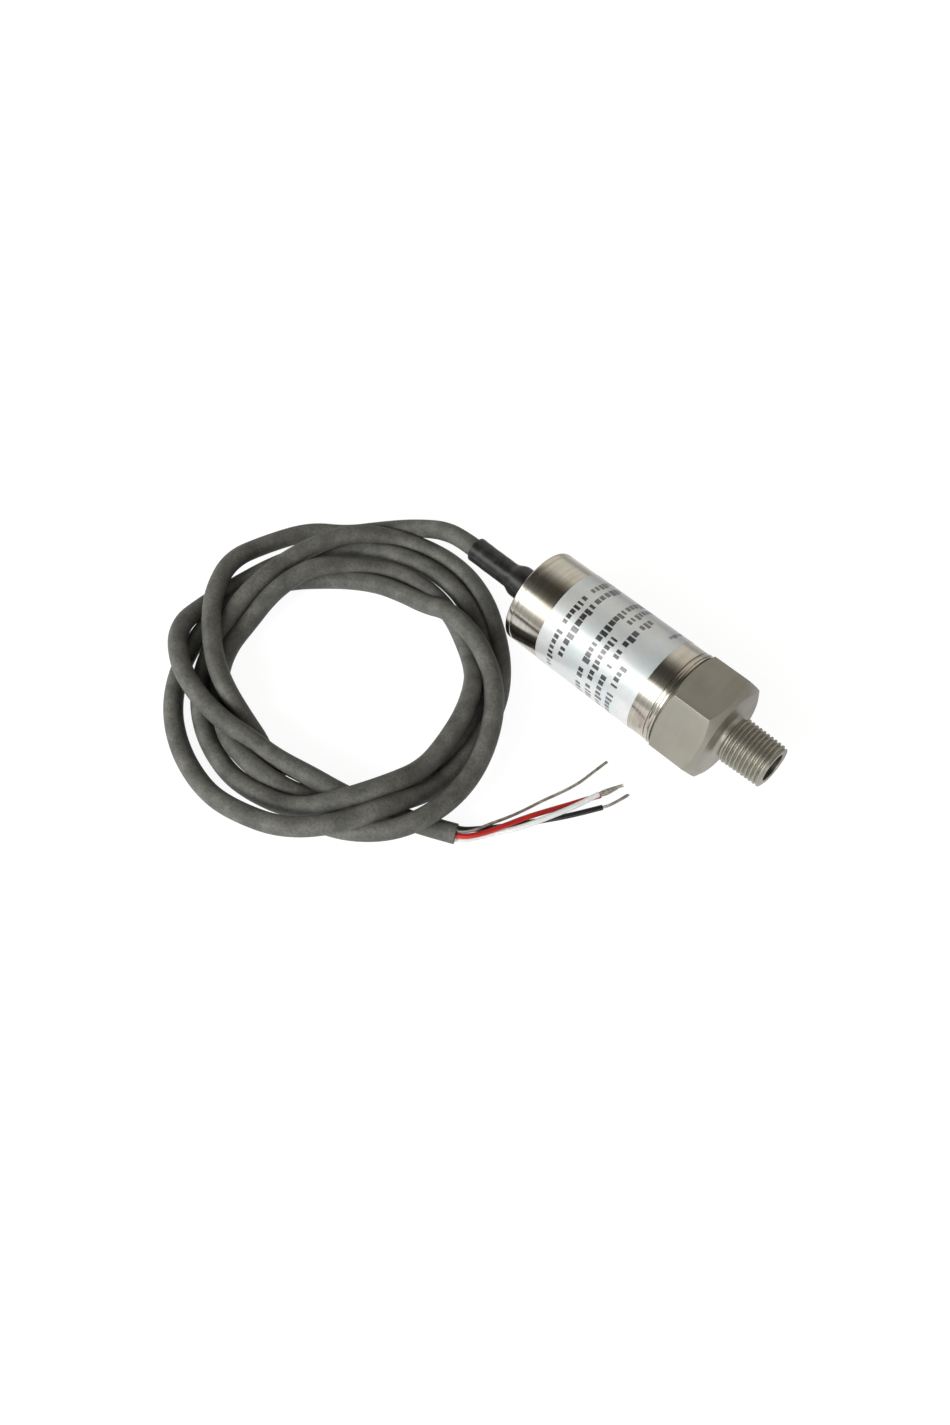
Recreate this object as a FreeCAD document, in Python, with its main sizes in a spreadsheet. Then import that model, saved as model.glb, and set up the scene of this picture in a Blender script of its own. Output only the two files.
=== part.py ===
import FreeCAD, Part
import math
import os
import Sketcher
from FreeCAD import Placement, Rotation, Vector

# A pressure transmitter with a tapered process thread, lying on a table beside its coiled cable.
# The axis of the transmitter runs along X, the thread points to +X, and the table is at Z = 0.
# Every station is measured along the axis from the cable end of the heat-shrink boot.

doc = FreeCAD.newDocument("PressureTransmitter")

SIZES = {
    # housing
    "can_diameter": 21.9, "can_length": 40.1, "can_wall": 0.8, "can_rim_round": 1.0,
    "lip_width": 0.9, "lip_height": 0.12, "lip_round": 0.1, "closing_gap": 0.4,
    # port, machined from hexagon bar
    "hex_across_flats": 22.2, "hex_length": 11.3, "hex_face_diameter": 19.7, "chamfer_angle": 30,
    "chamfer_overrun": 1,
    "neck_diameter": 9.2, "neck_length": 1.2, "neck_round": 1.0, "thread_length": 11.4,
    "thread_end_diameter": 9.8, "thread_taper": 16, "thread_lead_in": 0.3,
    "plug_length": 6, "plug_clearance": 0.05, "seal_groove_width": 1.7, "seal_groove_depth": 1.1,
    "spigot_length": 6, "bore_diameter": 6.4, "diaphragm_thickness": 0.5,
    # cable, its ferrule and its boot
    "cable_diameter": 4.3, "cable_inside_length": 25, "boot_length": 18.8, "boot_wall": 0.7,
    "ferrule_length": 5.8, "ferrule_wall": 0.8, "ferrule_clearance": 0.1,
    "flange_diameter": 10.4, "flange_thickness": 0.8, "boot_shoulder": 2.1, "boot_round": 2,
    "collar_length": 3.2, "collar_wall": 0.9,
    # label
    "label_rear_margin": 9.0, "label_front_margin": 5.6, "label_thickness": 0.08, "label_turn": 345,
    # inner parts
    "sleeve_wall": 0.5, "sleeve_clearance": 0.05, "sleeve_rear_gap": 1.6, "sleeve_lip": 0.9,
    "board_thickness": 1.2, "terminal_thickness": 1.0, "board_clearance": 0.1,
    "spacer_length": 14.6, "spacer_wall": 1.1,
    "terminal_ring_width": 2.9, "pin_diameter": 0.64, "pin_edge_gap": 0.48,
    "pin_stand_out": 0.6, "pin_inset": 0.2,
    "gauge_length": 1.3, "gauge_width": 0.7, "gauge_thickness": 0.15, "gauge_circle": 3.9,
    "gauge_lead_diameter": 0.2, "gauge_lead_rise": 1.1, "gauge_pad_inset": 0.6,
    "chip_length": 6, "chip_width": 5, "chip_height": 1.5, "chip_offset": 3.4,
    "regulator_length": 3, "regulator_width": 2.6, "regulator_height": 1.1, "regulator_offset": 3.6,
    "capacitor_length": 2, "capacitor_width": 1.25, "capacitor_height": 1.25,
    "capacitor_pitch": 3, "capacitor_offset": 2.4,
    "resistor_length": 1.6, "resistor_width": 0.8, "resistor_height": 0.5,
    "resistor_pitch": 2.2, "resistor_offset": 4.9,
    # conductors
    "conductor_diameter": 1.15, "drain_diameter": 0.6, "strand_diameter": 0.7,
    "core_circle": 1.7, "pad_circle": 4.6,
    # coil of cable
    "lead_straight": 8.5, "coil_long_radius": 43.4, "coil_short_radius": 37.6, "coil_turn": -45,
    "coil_centre_left": 44.6, "coil_centre_front": 41.2, "coil_opening_radius": 23.6,
    "coil_opening_left": 42, "coil_opening_front": 39.3,
    "coil_height": 13.6, "coil_slope": 5.2, "coil_round": 1.8,
}

# Stations along the axis and radii about it, worked out from the sizes.
PLACES = {
    "can_start": "Sizes.boot_length",
    "can_end": "can_start + Sizes.can_length",
    "hex_start": "can_end + Sizes.closing_gap",
    "hex_end": "hex_start + Sizes.hex_length",
    "neck_end": "hex_end + Sizes.neck_length",
    "thread_end": "hex_end + Sizes.thread_length",
    "axis_height": "Sizes.hex_across_flats / 2",
    "can_radius": "Sizes.can_diameter / 2",
    "can_inner_radius": "can_radius - Sizes.can_wall",
    "can_inner_start": "can_start + Sizes.can_wall",
    "lip_start": "can_end - Sizes.lip_width",
    "lip_radius": "can_radius + Sizes.lip_height",
    "cable_radius": "Sizes.cable_diameter / 2",
    "ferrule_inner_radius": "cable_radius + Sizes.ferrule_clearance",
    "ferrule_outer_radius": "ferrule_inner_radius + Sizes.ferrule_wall",
    "ferrule_start": "can_start - Sizes.ferrule_length",
    "flange_radius": "Sizes.flange_diameter / 2",
    "flange_end": "can_inner_start + Sizes.flange_thickness",
    "collar_end": "flange_end + Sizes.collar_length",
    "collar_radius": "cable_radius + Sizes.collar_wall",
    "can_hole_radius": "ferrule_outer_radius + Sizes.ferrule_clearance",
    "can_inner_round": "Sizes.can_rim_round - Sizes.can_wall",
    "boot_small_radius": "cable_radius + Sizes.boot_wall",
    "boot_big_radius": "ferrule_outer_radius + Sizes.boot_wall",
    "boot_shoulder_start": "ferrule_start - Sizes.boot_shoulder",
    "label_start": "can_start + Sizes.label_rear_margin",
    "label_end": "can_end - Sizes.label_front_margin",
    "label_radius": "can_radius + Sizes.label_thickness",
    "hex_corner_radius": "axis_height / cos(30)",
    "hex_face_radius": "Sizes.hex_face_diameter / 2",
    "chamfer_radius": "hex_corner_radius + Sizes.chamfer_overrun",
    "front_chamfer_start": "hex_end - (chamfer_radius - hex_face_radius) * tan(Sizes.chamfer_angle)",
    "rear_chamfer_end": "hex_start + (chamfer_radius - can_radius) * tan(Sizes.chamfer_angle)",
    "neck_radius": "Sizes.neck_diameter / 2",
    "thread_end_radius": "Sizes.thread_end_diameter / 2",
    "thread_start_radius": "thread_end_radius + (thread_end - neck_end) / Sizes.thread_taper / 2",
    "lead_in_start": "thread_end - Sizes.thread_lead_in",
    "lead_in_radius": "thread_end_radius - Sizes.thread_lead_in",
    "neck_slope_end": "neck_end + thread_start_radius - neck_radius",
    "bore_radius": "Sizes.bore_diameter / 2",
    "plug_radius": "can_inner_radius - Sizes.plug_clearance",
    "plug_start": "hex_start - Sizes.plug_length",
    "entry_end": "Sizes.cable_inside_length",
    "conductor_radius": "Sizes.conductor_diameter / 2",
    "drain_radius": "Sizes.drain_diameter / 2",
    "seal_floor_radius": "plug_radius - Sizes.seal_groove_depth",
    "seal_station": "hex_start - Sizes.plug_length / 2",
    "seal_groove_start": "seal_station - Sizes.seal_groove_width / 2",
    "seal_groove_end": "seal_station + Sizes.seal_groove_width / 2",
    "seal_cord_radius": "(can_inner_radius - seal_floor_radius) / 2",
    "seal_ring_radius": "(can_inner_radius + seal_floor_radius) / 2",
    "diaphragm_station": "plug_start - Sizes.spigot_length",
    "bore_start": "diaphragm_station + Sizes.diaphragm_thickness",
    "bore_length": "thread_end - bore_start",
    "terminal_start": "plug_start - Sizes.terminal_thickness",
    "sleeve_radius": "can_inner_radius - Sizes.sleeve_clearance",
    "sleeve_inner_radius": "sleeve_radius - Sizes.sleeve_wall",
    "sleeve_lip_radius": "sleeve_inner_radius - Sizes.sleeve_lip",
    "sleeve_start": "can_inner_start + Sizes.sleeve_rear_gap",
    "board_radius": "sleeve_inner_radius - Sizes.board_clearance",
    "terminal_inner_radius": "board_radius - Sizes.terminal_ring_width",
    "spigot_radius": "terminal_inner_radius - Sizes.board_clearance",
    "gauge_pad_radius": "terminal_inner_radius + Sizes.gauge_pad_inset",
    "board_end": "terminal_start - Sizes.spacer_length",
    "board_start": "board_end - Sizes.board_thickness",
    "sleeve_lip_start": "board_start - Sizes.sleeve_lip",
    "spacer_inner_radius": "board_radius - Sizes.spacer_wall",
    "pin_start": "board_start - Sizes.pin_stand_out",
    "pin_length": "plug_start - Sizes.pin_inset - pin_start",
    "pin_radius": "Sizes.pin_diameter / 2",
    "pin_circle_radius": "spacer_inner_radius - Sizes.pin_edge_gap - pin_radius",
    "pin_offset": "pin_circle_radius * cos(45)",
}

sizes = doc.addObject("Spreadsheet::Sheet", "Sizes")
places = doc.addObject("Spreadsheet::Sheet", "Places")
for row, (name, value) in enumerate(SIZES.items(), start=1):
    sizes.set(f"A{row}", name)
    sizes.set(f"B{row}", str(value))
    sizes.setAlias(f"B{row}", name)
for row, (name, formula) in enumerate(PLACES.items(), start=1):
    places.set(f"A{row}", name)
    places.setAlias(f"B{row}", name)
    places.set(f"B{row}", "=" + formula)
doc.recompute()

MIDDLE = "Places.thread_end / 2"
ZERO = "0"
parts = []


def number(name):
    """The value of a size or a place."""
    return 0.0 if name == ZERO else float((sizes if name in SIZES else places).get(name))


def bound(name):
    """The expression that reads a size or a place."""
    return ("Sizes." if name in SIZES else "Places.") + name


def new_body(label, on_axis=True):
    """A body of its own, which lies along the transmitter's axis if it belongs to it."""
    body = doc.addObject("PartDesign::Body", label)
    if on_axis:
        body.setExpression("Placement.Base.x", "-" + MIDDLE)
        body.setExpression("Placement.Base.z", "Places.axis_height")
    parts.append(body)
    return body


def new_sketch(body, name, role, station=None):
    """An empty sketch on one of the body's own planes, moved along that plane's normal to a station."""
    sketch = body.newObject("Sketcher::SketchObject", name)
    plane = next(f for f in body.Origin.OriginFeatures if f.Role == role)
    sketch.AttachmentSupport = [(plane, "")]
    sketch.MapMode = "FlatFace"
    if station:
        sketch.setExpression("AttachmentOffset.Base.z", bound(station))
    return sketch


def fix(sketch, kind, *where, value, expression):
    """A dimension of a sketch that follows an expression."""
    index = sketch.addConstraint(Sketcher.Constraint(kind, *where, value))
    sketch.setExpression(f"Constraints[{index}]", expression)


def outline(body, name, corners):
    """A closed outline in a plane through the axis: each corner is the name of a station and of a radius."""
    sketch = new_sketch(body, name, "XY_Plane")
    spots = [Vector(number(s), number(r), 0) for s, r in corners]
    for spot, following in zip(spots, spots[1:] + spots[:1]):
        sketch.addGeometry(Part.LineSegment(spot, following))
    for i, (station, radius) in enumerate(corners):
        sketch.addConstraint(Sketcher.Constraint("Coincident", i - 1 if i else len(corners) - 1, 2, i, 1))
        for kind, datum, name, value in (("DistanceX", -2, station, spots[i].x),
                                         ("DistanceY", -1, radius, spots[i].y)):
            if name == ZERO:
                sketch.addConstraint(Sketcher.Constraint("PointOnObject", i, 1, datum))
            else:
                fix(sketch, kind, i, 1, value=value, expression=bound(name))
    return sketch


def turned(body, name, corners, kind="Revolution", angle=None):
    """Turns an outline about the axis, to add a round form or to cut one away as a Groove."""
    feature = body.newObject("PartDesign::" + kind, name)
    feature.Profile = outline(body, name + "_outline", corners)
    feature.ReferenceAxis = (feature.Profile[0], ["H_Axis"])
    if angle:
        feature.setExpression("Angle", bound(angle))
    else:
        feature.Angle = 360
    return feature


def round_edges(body, name, base, radius, spots):
    """Fillets the circular edges of a turned form that lie at the given stations and radii."""
    wanted = []
    for number_of, edge in enumerate(base.Shape.Edges, start=1):
        at = edge.Vertexes[0].Point
        for station, distance in spots:
            near = Vector(at.x - number(station), math.hypot(at.y, at.z) - number(distance), 0)
            if near.Length < 0.01 and edge.Closed:
                wanted.append(f"Edge{number_of}")
    fillet = body.newObject("PartDesign::Fillet", name)
    fillet.Base = (base, wanted)
    fillet.setExpression("Radius", bound(radius))
    return fillet


def drilled(body, name, station, offset, radius, depth):
    """Four equal round holes on a circle, drilled along the axis from a station."""
    sketch = new_sketch(body, name + "_circle", "YZ_Plane", station)
    spot = Vector(number(offset), number(offset), 0)
    sketch.addGeometry(Part.Circle(spot, Vector(0, 0, 1), number(radius)))
    fix(sketch, "DistanceX", 0, 3, value=spot.x, expression=bound(offset))
    fix(sketch, "DistanceY", 0, 3, value=spot.y, expression=bound(offset))
    fix(sketch, "Radius", 0, value=number(radius), expression=bound(radius))
    hole = body.newObject("PartDesign::Pocket", name)
    hole.Profile = sketch
    hole.Reversed = True
    hole.setExpression("Length", bound(depth))
    return four_times(body, name + "_pattern", hole)


def four_times(body, name, feature):
    """Repeats a feature at every quarter turn about the axis."""
    doc.recompute()
    pattern = body.newObject("PartDesign::PolarPattern", name)
    pattern.Originals = [feature]
    axis = next(f for f in body.Origin.OriginFeatures if f.Role == "X_Axis")
    pattern.Axis = (axis, [""])
    pattern.Angle = 360
    pattern.Occurrences = 4
    body.Tip = pattern
    return pattern


def block(label, length, width, height, across, up):
    """A small component on the front face of the main board, its middle across and up from the axis."""
    box = doc.addObject("Part::Box", label)
    box.setExpression("Length", bound(height))
    box.setExpression("Width", bound(length))
    box.setExpression("Height", bound(width))
    box.setExpression("Placement.Base.x", f"Places.board_end - {MIDDLE}")
    box.setExpression("Placement.Base.y", f"{across} - {bound(length)} / 2")
    box.setExpression("Placement.Base.z", f"Places.axis_height + {up} - {bound(width)} / 2")
    return box


def group(label, members):
    """Like pieces kept together as one sub-part."""
    whole = doc.addObject("Part::Compound", label)
    whole.Links = members
    parts.append(whole)
    return whole


# ---------------------------------------------------------------- pressure port

def pressure_port():
    """Turned from hexagon bar: spigot, plug, filleted neck and tapered thread, then bored from the front."""
    body = new_body("pressure_port")
    hexagon = body.newObject("PartDesign::AdditivePrism", "hexagon")
    plane = next(f for f in body.Origin.OriginFeatures if f.Role == "YZ_Plane")
    hexagon.AttachmentSupport = [(plane, "")]
    hexagon.MapMode = "FlatFace"
    hexagon.Polygon = 6
    hexagon.setExpression("AttachmentOffset.Base.z", "Places.hex_start")
    hexagon.setExpression("Circumradius", "Places.hex_corner_radius")
    hexagon.setExpression("Height", "Sizes.hex_length")
    turned(body, "front_chamfer", [
        ("front_chamfer_start", "chamfer_radius"), ("hex_end", "hex_face_radius"),
        ("hex_end", "chamfer_radius")], kind="Groove")
    turned(body, "rear_chamfer", [
        ("rear_chamfer_end", "chamfer_radius"), ("hex_start", "chamfer_radius"),
        ("hex_start", "can_radius")], kind="Groove")
    forms = turned(body, "round_forms", [
        ("diaphragm_station", ZERO), ("diaphragm_station", "spigot_radius"),
        ("plug_start", "spigot_radius"), ("plug_start", "plug_radius"),
        ("seal_groove_start", "plug_radius"), ("seal_groove_start", "seal_floor_radius"),
        ("seal_groove_end", "seal_floor_radius"), ("seal_groove_end", "plug_radius"),
        ("hex_start", "plug_radius"), ("hex_start", "neck_radius"),
        ("neck_end", "neck_radius"), ("neck_slope_end", "thread_start_radius"),
        ("lead_in_start", "thread_end_radius"), ("thread_end", "lead_in_radius"),
        ("thread_end", ZERO)])
    doc.recompute()
    round_edges(body, "neck_fillet", forms, "neck_round", [("hex_end", "neck_radius")])
    doc.recompute()
    solid_volume = body.Shape.Volume
    turned(body, "pressure_bore", [
        ("bore_start", ZERO), ("bore_start", "bore_radius"),
        ("thread_end", "bore_radius"), ("thread_end", ZERO)], kind="Groove")
    doc.recompute()
    drilled_out = solid_volume - body.Shape.Volume
    expected = math.pi * number("bore_radius") ** 2 * number("bore_length")
    print(f"pressure bore takes away {drilled_out:.1f} mm3 of {expected:.1f}")


def strain_gauges():
    """Four silicon gauges bonded to the outer face of the diaphragm."""
    body = new_body("strain_gauges")
    sketch = new_sketch(body, "gauge_outline", "YZ_Plane", "diaphragm_station")
    half_width, radius, half_length = (
        number("gauge_width") / 2, number("gauge_circle") / 2, number("gauge_length") / 2)
    low, high = radius - half_length, radius + half_length
    corners = [Vector(-half_width, low, 0), Vector(half_width, low, 0),
               Vector(half_width, high, 0), Vector(-half_width, high, 0)]
    for corner, following in zip(corners, corners[1:] + corners[:1]):
        sketch.addGeometry(Part.LineSegment(corner, following))
    for i, corner in enumerate(corners):
        sketch.addConstraint(Sketcher.Constraint("Coincident", i - 1 if i else 3, 2, i, 1))
        side, end = ("" if corner.x > 0 else "-"), ("+" if corner.y > radius else "-")
        fix(sketch, "DistanceX", i, 1, value=corner.x, expression=f"{side}Sizes.gauge_width / 2")
        fix(sketch, "DistanceY", i, 1, value=corner.y,
            expression=f"Sizes.gauge_circle / 2 {end} Sizes.gauge_length / 2")
    gauge = body.newObject("PartDesign::Pad", "gauge")
    gauge.Profile = sketch
    gauge.Reversed = True
    gauge.setExpression("Length", "Sizes.gauge_thickness")
    four_times(body, "gauge_pattern", gauge)


# ---------------------------------------------------------------- housing

def housing_can():
    """A drawn cup over the electronics, with a rounded rear rim and a lip rolled on to the plug."""
    body = new_body("housing_can")
    cup = turned(body, "cup", [
        ("can_start", "can_hole_radius"), ("can_start", "can_radius"), ("lip_start", "can_radius"),
        ("lip_start", "lip_radius"), ("can_end", "lip_radius"), ("can_end", "can_inner_radius"),
        ("can_inner_start", "can_inner_radius"), ("can_inner_start", "can_hole_radius")])
    doc.recompute()
    rim = round_edges(body, "rim_round", cup, "can_rim_round", [("can_start", "can_radius")])
    doc.recompute()
    inside = round_edges(body, "inner_round", rim, "can_inner_round", [
        ("can_inner_start", "can_inner_radius")])
    doc.recompute()
    round_edges(body, "lip_edge_round", inside, "lip_round", [
        ("lip_start", "lip_radius"), ("can_end", "lip_radius")])


def can_seal():
    """The rubber ring between the plug's groove and the can."""
    ring = doc.addObject("Part::Torus", "can_seal")
    ring.Placement = Placement(Vector(), Rotation(Vector(0, 1, 0), 90))
    ring.setExpression("Radius1", "Places.seal_ring_radius")
    ring.setExpression("Radius2", "Places.seal_cord_radius")
    ring.setExpression("Placement.Base.x", "Places.seal_station - " + MIDDLE)
    ring.setExpression("Placement.Base.z", "Places.axis_height")
    parts.append(ring)


def label():
    """A film wrapped round the can, whose two ends stop short of each other on the rear side."""
    turned(new_body("label"), "film", [
        ("label_start", "can_radius"), ("label_end", "can_radius"),
        ("label_end", "label_radius"), ("label_start", "label_radius")], angle="label_turn")


# ---------------------------------------------------------------- cable entry

def cable_entry():
    """The ferrule in the can's rear wall, the collar crimped on the cable behind it and the shrunk boot."""
    turned(new_body("cable_ferrule"), "ferrule", [
        ("ferrule_start", "ferrule_inner_radius"), ("ferrule_start", "ferrule_outer_radius"),
        ("can_inner_start", "ferrule_outer_radius"), ("can_inner_start", "flange_radius"),
        ("flange_end", "flange_radius"), ("flange_end", "ferrule_inner_radius")])
    turned(new_body("crimp_collar"), "collar", [
        ("flange_end", "cable_radius"), ("flange_end", "collar_radius"),
        ("collar_end", "collar_radius"), ("collar_end", "cable_radius")])
    boot = new_body("heat_shrink_boot")
    sleeve = turned(boot, "shrunk_sleeve", [
        (ZERO, "cable_radius"), ("boot_shoulder_start", "cable_radius"),
        ("ferrule_start", "ferrule_outer_radius"), ("can_start", "ferrule_outer_radius"),
        ("can_start", "boot_big_radius"), ("ferrule_start", "boot_big_radius"),
        ("boot_shoulder_start", "boot_small_radius"), (ZERO, "boot_small_radius")])
    doc.recompute()
    round_edges(boot, "shoulder_round", sleeve, "boot_round", [
        ("ferrule_start", "boot_big_radius"), ("boot_shoulder_start", "boot_small_radius")])
    turned(new_body("cable_entry"), "jacket", [
        (ZERO, ZERO), (ZERO, "cable_radius"),
        ("entry_end", "cable_radius"), ("entry_end", ZERO)])


# ---------------------------------------------------------------- electronics

def electronics():
    """Two boards held apart by a spacer inside an insulating sleeve, with their components and link pins."""
    turned(new_body("insulating_sleeve"), "sleeve", [
        ("sleeve_start", "sleeve_inner_radius"), ("sleeve_start", "sleeve_radius"),
        ("plug_start", "sleeve_radius"), ("plug_start", "sleeve_inner_radius"),
        ("board_start", "sleeve_inner_radius"), ("board_start", "sleeve_lip_radius"),
        ("sleeve_lip_start", "sleeve_lip_radius"), ("sleeve_lip_start", "sleeve_inner_radius")])
    turned(new_body("board_spacer"), "spacer", [
        ("board_end", "spacer_inner_radius"), ("board_end", "board_radius"),
        ("terminal_start", "board_radius"), ("terminal_start", "spacer_inner_radius")])
    terminal = new_body("terminal_board")
    turned(terminal, "terminal_disc", [
        ("terminal_start", "terminal_inner_radius"), ("terminal_start", "board_radius"),
        ("plug_start", "board_radius"), ("plug_start", "terminal_inner_radius")])
    drilled(terminal, "pin_hole", "terminal_start", "pin_offset", "pin_radius", "terminal_thickness")
    board = new_body("main_board")
    turned(board, "board_disc", [
        ("board_start", ZERO), ("board_start", "board_radius"),
        ("board_end", "board_radius"), ("board_end", ZERO)])
    drilled(board, "pin_hole", "board_start", "pin_offset", "pin_radius", "board_thickness")
    pins = []
    for i, (side, rise) in enumerate(((1, 1), (-1, 1), (-1, -1), (1, -1)), start=1):
        pin = doc.addObject("Part::Cylinder", f"link_pin_{i}")
        pin.Placement = Placement(Vector(), Rotation(Vector(0, 1, 0), 90))
        pin.setExpression("Radius", "Places.pin_radius")
        pin.setExpression("Height", "Places.pin_length")
        pin.setExpression("Placement.Base.x", "Places.pin_start - " + MIDDLE)
        pin.setExpression("Placement.Base.y", f"{side} * Places.pin_offset")
        pin.setExpression("Placement.Base.z", f"Places.axis_height + {rise} * Places.pin_offset")
        pins.append(pin)
    group("link_pins", pins)
    parts.append(block("signal_chip", "chip_length", "chip_width", "chip_height",
                       "0", "-Sizes.chip_offset"))
    group("capacitors", [
        block(f"capacitor_{i + 2}", "capacitor_length", "capacitor_width", "capacitor_height",
              f"{i} * Sizes.capacitor_pitch", "Sizes.capacitor_offset") for i in (-1, 0, 1)])
    group("resistors", [
        block(f"resistor_{i + 1}", "resistor_length", "resistor_width", "resistor_height",
              f"({i} - 1.5) * Sizes.resistor_pitch", "Sizes.resistor_offset") for i in range(4)])
    regulator = block("voltage_regulator", "regulator_length", "regulator_width", "regulator_height",
                      "0", "Sizes.regulator_offset")
    regulator.setExpression("Placement.Base.x", f"Places.board_start - Sizes.regulator_height - {MIDDLE}")
    parts.append(regulator)


# ---------------------------------------------------------------- bent round wires and cable

def bent_path(points):
    """Straight runs through the points, joined by arcs as large as the shorter run allows."""
    edges, radii, start = [], [], points[0]
    for before, corner, after in zip(points, points[1:], points[2:]):
        back, on = before - corner, after - corner
        half_turn = (math.pi - back.getAngle(on)) / 2
        setback = 0.45 * min(back.Length, on.Length)
        radii.append(setback / math.tan(half_turn))
        first = corner + back.normalize() * setback
        last = corner + on.normalize() * setback
        to_middle = (first + last) * 0.5 - corner
        reach = radii[-1] / math.cos(half_turn) - radii[-1]
        middle = corner + to_middle.normalize() * reach
        edges += [Part.LineSegment(start, first).toShape(), Part.Arc(first, middle, last).toShape()]
        start = last
    edges.append(Part.LineSegment(start, points[-1]).toShape())
    return Part.Wire(edges), radii


def tube(label, points, radius):
    """A round tube along a bent path, checked against its section times its length."""
    path, radii = bent_path(points)
    direction = points[1] - points[0]
    ring = Part.Wire(Part.Circle(points[0], direction, radius).toShape())
    solid = path.makePipeShell([ring], True, True)
    piece = doc.addObject("Part::Feature", label)
    piece.Shape = solid
    expected = math.pi * radius ** 2 * path.Length
    print(f"{label}: {path.Length:.1f} mm long, volume {solid.Volume / expected:.3f} of its section "
          f"times its length, smallest bend {min(radii):.1f} mm of {[round(r, 1) for r in radii]}")
    return piece


def inner_wires():
    """The cable's cores soldered to the main board, and fine leads from the gauges to the terminal ring."""
    left, up = -number("thread_end") / 2, number("axis_height")
    start, board = number("entry_end"), number("board_start")
    half = (board - start) / 2
    inner, outer = number("core_circle") / 2, number("pad_circle") / 2
    cores = []
    for i, name in enumerate(("conductor_radius", "drain_radius", "conductor_radius", "conductor_radius")):
        angle = math.radians(45 + 90 * i)
        route = [(start, inner), (start + half / 2, inner), (board - half / 2, outer), (board, outer)]
        points = [Vector(left + x, r * math.cos(angle), up + r * math.sin(angle)) for x, r in route]
        cores.append(tube(f"core_{i + 1}", points, number(name)))
    group("board_leads", cores)
    gauge, pad = number("gauge_circle") / 2, number("gauge_pad_radius")
    face = number("diaphragm_station") - number("gauge_thickness")
    rise, landing = number("gauge_lead_rise"), number("terminal_start")
    leads = []
    for i in range(4):
        angle = math.radians(90 * i)
        route = [(face, gauge), (face - rise, gauge), (face - 2 * rise, gauge + 2 * rise),
                 (face - 2 * rise, pad - rise), (face, pad), (landing, pad)]
        points = [Vector(left + x, r * math.cos(angle), up + r * math.sin(angle)) for x, r in route]
        leads.append(tube(f"gauge_lead_{i + 1}", points, number("gauge_lead_diameter") / 2))
    group("gauge_leads", leads)


# ---------------------------------------------------------------- free cable

# Where the cable lies: it sinks from the boot to the table and joins the coil, and its other end
# comes out from under the coil. The four conductors fan out from that cut end over the table.
LEAD_ROUTE = [(-59, 1.5, 5.8), (-68, -4, 2.2), (-73.5, -12, 2.2)]
TAIL_ROUTE = [(-12, -58.8, 3.4), (-5, -54.6, 2.7), (1.8, -51, 2.2)]


def oval(name, long_radius, short_radius, left, front, turn):
    """An upright oval block that stands on the table."""
    ellipse = doc.addObject("Part::Ellipse", name + "_outline")
    ellipse.Placement = Placement(Vector(), Rotation(Vector(0, 0, 1), turn))
    ellipse.setExpression("MajorRadius", bound(long_radius))
    ellipse.setExpression("MinorRadius", bound(short_radius))
    ellipse.setExpression("Placement.Base.x", "-" + bound(left))
    ellipse.setExpression("Placement.Base.y", "-" + bound(front))
    prism = doc.addObject("Part::Extrusion", name)
    prism.Base = ellipse
    prism.DirMode = "Custom"
    prism.Dir = Vector(0, 0, 1)
    prism.Solid = True
    prism.setExpression("LengthFwd", "Sizes.coil_height")
    return prism


def cut_away(name, base, tool):
    """What is left of a shape outside another one."""
    rest = doc.addObject("Part::Cut", name)
    rest.Base = base
    rest.Tool = tool
    return rest


def coil():
    """The loose coil as one closed ring, deepest where the turns cross and shallow beside the boot."""
    block_of_turns = oval("turns", "coil_long_radius", "coil_short_radius",
                          "coil_centre_left", "coil_centre_front", number("coil_turn"))
    opening = oval("opening", "coil_opening_radius", "coil_opening_radius",
                   "coil_opening_left", "coil_opening_front", 0)
    slope = doc.addObject("Part::Box", "slope")
    slope.Placement = Placement(Vector(), Rotation(Vector(1, 0, 0), -number("coil_slope")))
    for side in ("Length", "Width"):
        slope.setExpression(side, "3 * Sizes.coil_long_radius")
    slope.setExpression("Height", "2 * Sizes.coil_height")
    slope.setExpression("Placement.Base.x", "-Sizes.coil_centre_left - 1.5 * Sizes.coil_long_radius")
    slope.setExpression("Placement.Base.y", "-Sizes.coil_centre_front - Sizes.coil_long_radius")
    slope.setExpression("Placement.Base.z", "Sizes.coil_height")
    ring = cut_away("sloped_ring", cut_away("flat_ring", block_of_turns, opening), slope)
    doc.recompute()
    rounded = doc.addObject("Part::Fillet", "cable_coil")
    rounded.Base = ring
    radius = number("coil_round")
    rounded.Edges = [(i, radius, radius) for i, edge in enumerate(ring.Shape.Edges, start=1) if edge.Closed]
    parts.append(rounded)
    return rounded


def free_cable():
    """The lead from the boot, the coil and the cut end, as plain round solids that meet each other."""
    ring = coil()
    exit_point = Vector(-number("thread_end") / 2, 0, number("axis_height"))
    straight = exit_point - Vector(number("lead_straight"), 0, 0)
    radius = number("cable_radius")
    lead = tube("lead_tube", [exit_point, straight] + [Vector(*p) for p in LEAD_ROUTE], radius)
    tail = tube("tail_tube", [Vector(*p) for p in TAIL_ROUTE], radius)
    parts.extend([cut_away("cable_lead", lead, ring), cut_away("cable_tail", tail, ring)])


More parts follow.
